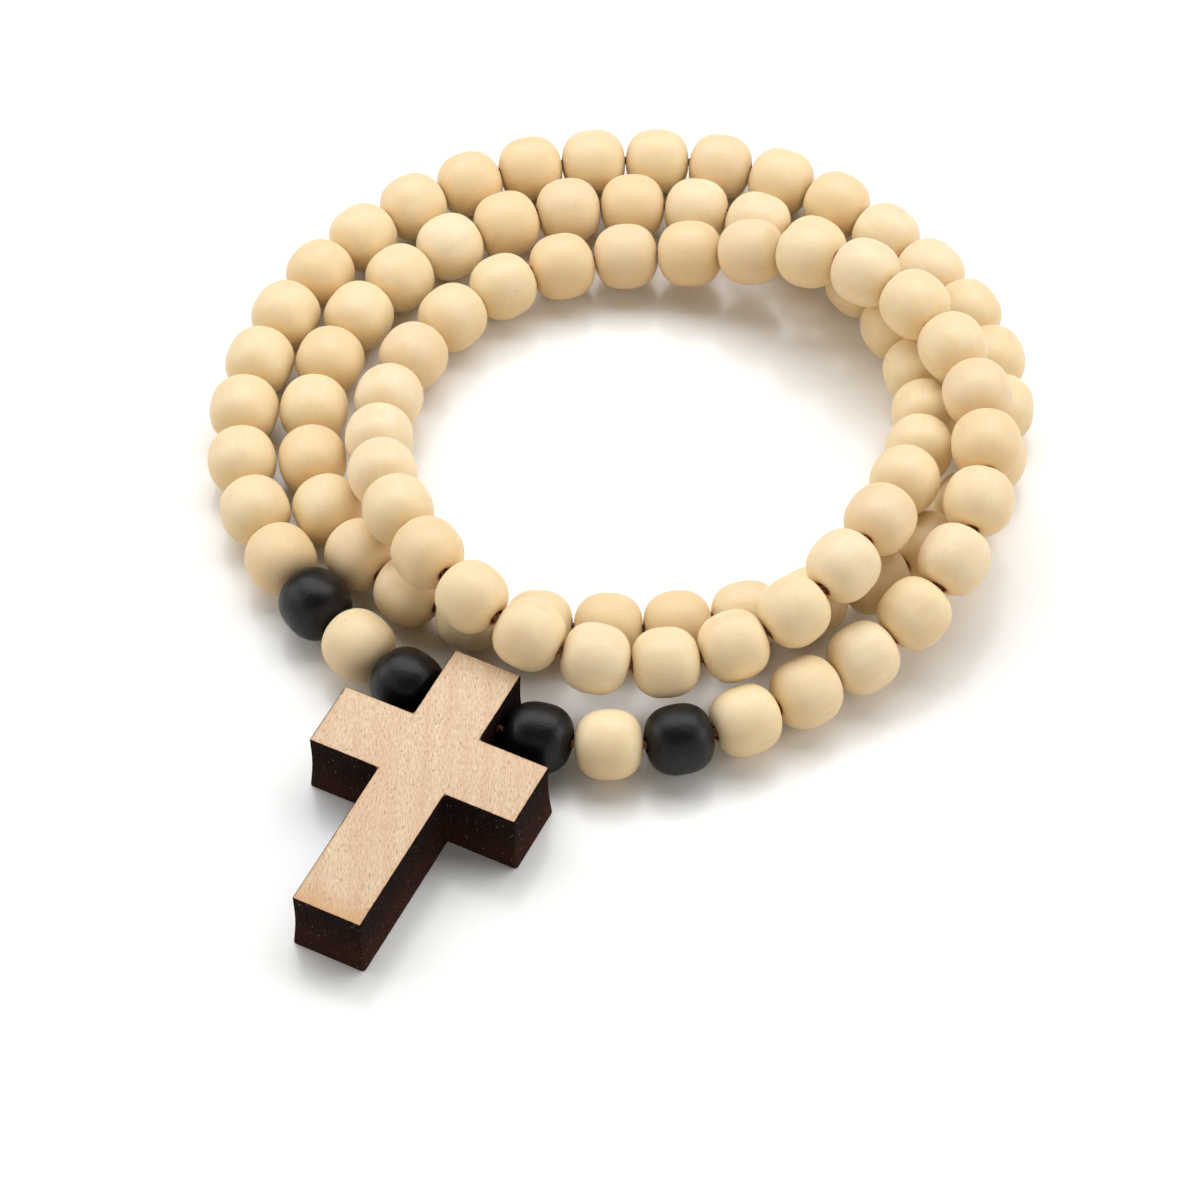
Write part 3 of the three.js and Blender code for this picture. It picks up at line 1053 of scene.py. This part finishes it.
def laid_along_grain(tree, place, angle):
    """A place on a flat board, with the grain that lies at an angle to its Y turned to Z."""
    inputs = {"Vector": place, "Angle": -angle}
    made = add_node(tree, "VectorRotate", inputs, rotation_type="Z_AXIS")
    x, y, z = parts_of(tree, made.outputs["Vector"])
    return add_node(tree, "CombineXYZ", {"X": x, "Y": z, "Z": y}).outputs["Vector"]


def edge_distance(tree, place):
    """How far a place on the cross's face lies from the outline, in millimetres."""
    x, y, _ = parts_of(tree, place)
    side = maths(tree, "ABSOLUTE", x)
    inside = []
    for wide, low, high in STEM_AND_BAR:
        from_side = maths(tree, "SUBTRACT", wide / MM, side)
        from_low = maths(tree, "SUBTRACT", y, low / MM)
        from_high = maths(tree, "SUBTRACT", high / MM, y)
        from_ends = maths(tree, "MINIMUM", from_low, from_high)
        inside.append(maths(tree, "MINIMUM", from_side, from_ends))
    return maths(tree, "MAXIMUM", *inside)


def cross_face_finish(settings):
    """Fine-streaked pinkish wood with dark flecks, toasted along its outline."""
    material, tree, shader = new_material("Cross face", {
        "Roughness": 0.55, "Specular IOR Level": 0.35,
    })
    place = attribute(tree, "cross_place")
    grain = laid_along_grain(tree, place, settings.grain_turn)
    wood = place_group(
        tree, "Wood figure", place=grain, fibre_width=0.09, fibre_length=0.8, ring_width=0.5,
        pore_share=0.6,
    )
    coarse = place_group(
        tree, "Wood figure", place=grain, fibre_width=0.16, fibre_length=1.9, ring_width=1.7,
        pore_share=0.3,
    )
    surface = place_group(tree, "Handled surface", place=place, roughness=0.55, patchiness=0.1)

    inside = edge_distance(tree, place)
    ragged = times(tree, speckle(tree, place, 1.6, detail=3), 2)

    def from_outline(reach):
        return maths(tree, "DIVIDE", inside, times(tree, ragged, reach))

    toast, line = settings.scorch_reach / MM, settings.edge / MM * 1.6
    foot = CROSS_FOOT / MM
    along = maths(tree, "SUBTRACT", parts_of(tree, place)["Y"], ragged)
    body = layered(
        tree, settings.pale,
        (settings.pink, coarse["Rings"], 0.35, 0.65),
        (settings.deep, wood["Fibres"], 0.45, 0.58, 0, 0.6),
        (settings.deep, coarse["Fibres"], 0.46, 0.66, 0, 0.32),
        (colour(138, 104, 78), times(tree, wood["Pores"], 0.5)),
        (settings.toasted, from_outline(toast), 0, 1, 0.5, 0),
        (settings.toasted, along, foot - 1, foot + 3, 0.6, 0),
        (settings.russet, from_outline(line), 0.5, 1, 0.8, 0),
    )
    finish_shader(tree, shader, body, surface, wood["Fibres"], 0.02 * MM)
    return material


def charred_finish(settings):
    """Charred sides with upright marks of the cut, russet towards the underside."""
    material, tree, shader = new_material("Charred sides", {
        "Roughness": 0.8, "Specular IOR Level": 0.05,
    })
    place = attribute(tree, "cross_place")
    surface = place_group(tree, "Handled surface", place=place, roughness=0.8, patchiness=0.2)
    marks = speckle(tree, stretched(tree, place, 0.13, 2.6), detail=3, roughness=0.6)
    patches = speckle(tree, place, 0.35)
    half = CROSS_THICKNESS / 2 / MM
    low = fade(tree, parts_of(tree, place)["Z"], 0.6 * half, -half, 0.05, 0.9)
    uneven = times(tree, low, fade(tree, patches, 0.2, 0.8, 0.5, 1))
    # Small pale specks scattered over the charred sides.
    pale_specks = speckle(tree, place, 4.5, detail=0)
    body = layered(
        tree, settings.burnt,
        (settings.russet, uneven),
        (settings.russet, marks, 0.45, 0.75, 0, 0.55),
        (colour(170, 145, 125), pale_specks, 0.78, 0.82, 0, 0.6),
    )
    finish_shader(tree, shader, body, surface, marks, 0.03 * MM)
    return material


class PRAYERBEADS_OT_cross(bpy.types.Operator):
    """Saws the flat cross out of its plank, with scorched sides, and drills its bore"""

    bl_idname = "prayerbeads.cross"
    bl_label = "Cross"

    def execute(self, context):
        settings = context.scene.cross_settings
        shape = bore_through(cross_board(settings))
        part_faces_from_sides(shape)
        shape.transform(Matrix.Translation(BORE_CENTRE) @ Matrix.Rotation(CROSS_TURN, 4, "Z"))
        shade_smooth(shape, SMOOTH_ANGLE)
        finishes = [cross_face_finish(settings), charred_finish(settings)]
        make_piece("flat_cross", shape, finishes, "cross", "cross_wood", "cross")
        return {"FINISHED"}


# ---- the stage

FLOOR_SIZE = 12
WHITE_FROM, ALL_WHITE_FROM = 0.25, 1.2
LAMPS_AWAY = 0.84
SOFTBOX_SIZE, LAMP_SIZE = (1.4, 0.6), (0.5, 0.5)
BEHIND, ON_THE_LEFT, ON_THE_RIGHT = math.radians(85), math.radians(165), 0
LAMP_HEIGHT = math.radians(25)
WALL_TINT = (1, 0.95, 0.87)


class PRAYERBEADS_OT_camera(bpy.types.Operator):
    """Stands the camera in front of the beads, looking down at them"""

    bl_idname = "prayerbeads.camera"
    bl_label = "Camera"

    def execute(self, context):
        settings = context.scene.camera_settings
        camera = bpy.data.cameras.new("Camera")
        set_all(camera, sensor_width=36, lens_unit="FOV", angle=settings.field)
        stand = link_object("Camera", camera)
        back = Vector((0, -math.cos(settings.elevation), math.sin(settings.elevation)))
        stand.location = Vector(settings.aim) + back * settings.distance
        stand.rotation_euler = (math.pi / 2 - settings.elevation, 0, 0)
        context.scene.camera = stand
        return {"FINISHED"}


def add_lamp(name, turn, height, size, power):
    """A lamp that shines on the beads, turned from +X and raised above the horizon."""
    lamp = bpy.data.lights.new(name, "AREA")
    set_all(lamp, shape="RECTANGLE", size=size[0], size_y=size[1], energy=power)
    holder = link_object(name, lamp)
    level = math.cos(height)
    way = Vector((level * math.cos(turn), level * math.sin(turn), math.sin(height)))
    holder.location = way * LAMPS_AWAY
    holder.rotation_euler = (-way).to_track_quat("-Z", "Y").to_euler()


def light_the_room(world, walls):
    """Light from the walls in front of the beads, with plain white behind."""
    world.use_nodes = True
    tree = world.node_tree
    tree.nodes.clear()
    direction = add_node(tree, "TexCoord").outputs["Generated"]
    _, depth, height = parts_of(tree, direction)
    in_front = fade(tree, depth, 0.8, -0.8, 0, walls)
    strength = times(tree, in_front, fade(tree, height, 0.75, 0.4))
    seen = add_node(tree, "LightPath").outputs["Is Camera Ray"]
    wall = add_node(tree, "Background", {
        "Color": mix(tree, seen, WALL_TINT, (1, 1, 1)),
        "Strength": maths(tree, "MAXIMUM", strength, seen),
    })
    add_node(tree, "OutputWorld", {"Surface": wall.outputs["Background"]})


def table_finish(settings):
    """Smooth white that looks whiter than the light it throws back."""
    material, tree, shader = new_material("White table", {"Roughness": 0.2, "Emission Strength": 1})
    path = add_node(tree, "LightPath").outputs
    through = maths(tree, "MAXIMUM", path["Is Glossy Ray"], path["Is Transmission Ray"])
    seen = maths(tree, "MAXIMUM", path["Is Camera Ray"], through)
    feed(tree, shader["Base Color"], mix(tree, seen, settings.floor, settings.backdrop))
    place = add_node(tree, "TexCoord").outputs["Object"]
    reach = add_node(tree, "VectorMath", {0: place}, operation="LENGTH").outputs["Value"]
    far = times(tree, seen, fade(tree, reach, WHITE_FROM, ALL_WHITE_FROM))
    feed(tree, shader["Emission Color"], mix(tree, far, (0, 0, 0), settings.backdrop))
    return material


class PRAYERBEADS_OT_stage(bpy.types.Operator):
    """Lays the white table and hangs the studio lamps"""

    bl_idname = "prayerbeads.stage"
    bl_label = "Stage"

    def execute(self, context):
        scene = context.scene
        settings = scene.stage_settings
        scene.view_settings.view_transform = "Standard"

        table = bmesh.new()
        bmesh.ops.create_grid(table, x_segments=1, y_segments=1, size=FLOOR_SIZE / 2)
        floor = add_object("Table", table)
        floor.data.materials.append(table_finish(settings))

        add_lamp("Softbox", BEHIND, settings.softbox_height, SOFTBOX_SIZE, settings.softbox_power)
        add_lamp("Left lamp", ON_THE_LEFT, LAMP_HEIGHT, LAMP_SIZE, settings.left_power)
        add_lamp("Right lamp", ON_THE_RIGHT, LAMP_HEIGHT, LAMP_SIZE, settings.right_power)
        scene.world = scene.world or bpy.data.worlds.new("Room")
        light_the_room(scene.world, settings.walls)
        return {"FINISHED"}


# ---- the add-on

SETTINGS = {
    "camera_settings": CameraSettings,
    "cord_settings": CordSettings,
    "bead_settings": BeadSettings,
    "wood_settings": PaleWoodSettings,
    "lacquer_settings": BlackLacquerSettings,
    "cross_settings": CrossSettings,
    "stage_settings": StageSettings,
}

# In the order that they run, each with the settings shown above its button.
OPERATORS = [
    (PRAYERBEADS_OT_camera, ["camera_settings"]),
    (PRAYERBEADS_OT_cord, ["cord_settings"]),
    (PRAYERBEADS_OT_knot, []),
    (PRAYERBEADS_OT_pale_beads, ["bead_settings", "wood_settings"]),
    (PRAYERBEADS_OT_black_beads, ["lacquer_settings"]),
    (PRAYERBEADS_OT_cross, ["cross_settings"]),
    (PRAYERBEADS_OT_stage, ["stage_settings"]),
]


class PRAYERBEADS_PT_panel(bpy.types.Panel):
    """Lists the operators with their settings"""

    bl_idname = "PRAYERBEADS_PT_panel"
    bl_label = "Prayer beads"
    bl_space_type = "VIEW_3D"
    bl_region_type = "UI"
    bl_category = "Prayer beads"

    def draw(self, context):
        for operator, names in OPERATORS:
            box = self.layout.box()
            for name in names:
                settings = getattr(context.scene, name)
                for field in settings.bl_rna.properties:
                    if field.identifier not in {"rna_type", "name"}:
                        box.prop(settings, field.identifier)
            box.operator(operator.bl_idname)


CLASSES = [*SETTINGS.values(), *(operator for operator, _ in OPERATORS), PRAYERBEADS_PT_panel]


def register():
    for part in CLASSES:
        bpy.utils.register_class(part)
    for name, kind in SETTINGS.items():
        setattr(bpy.types.Scene, name, PointerProperty(type=kind))


def unregister():
    for name in SETTINGS:
        delattr(bpy.types.Scene, name)
    for part in reversed(CLASSES):
        bpy.utils.unregister_class(part)


def main():
    """Registers the add-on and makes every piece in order."""
    register()
    wood_figure()
    handled_surface()
    bpy.ops.prayerbeads.camera()
    bpy.ops.prayerbeads.cord()
    bpy.ops.prayerbeads.knot()
    bpy.ops.prayerbeads.pale_beads()
    bpy.ops.prayerbeads.black_beads()
    bpy.ops.prayerbeads.cross()
    bpy.ops.prayerbeads.stage()


if __name__ == "__main__":
    main()
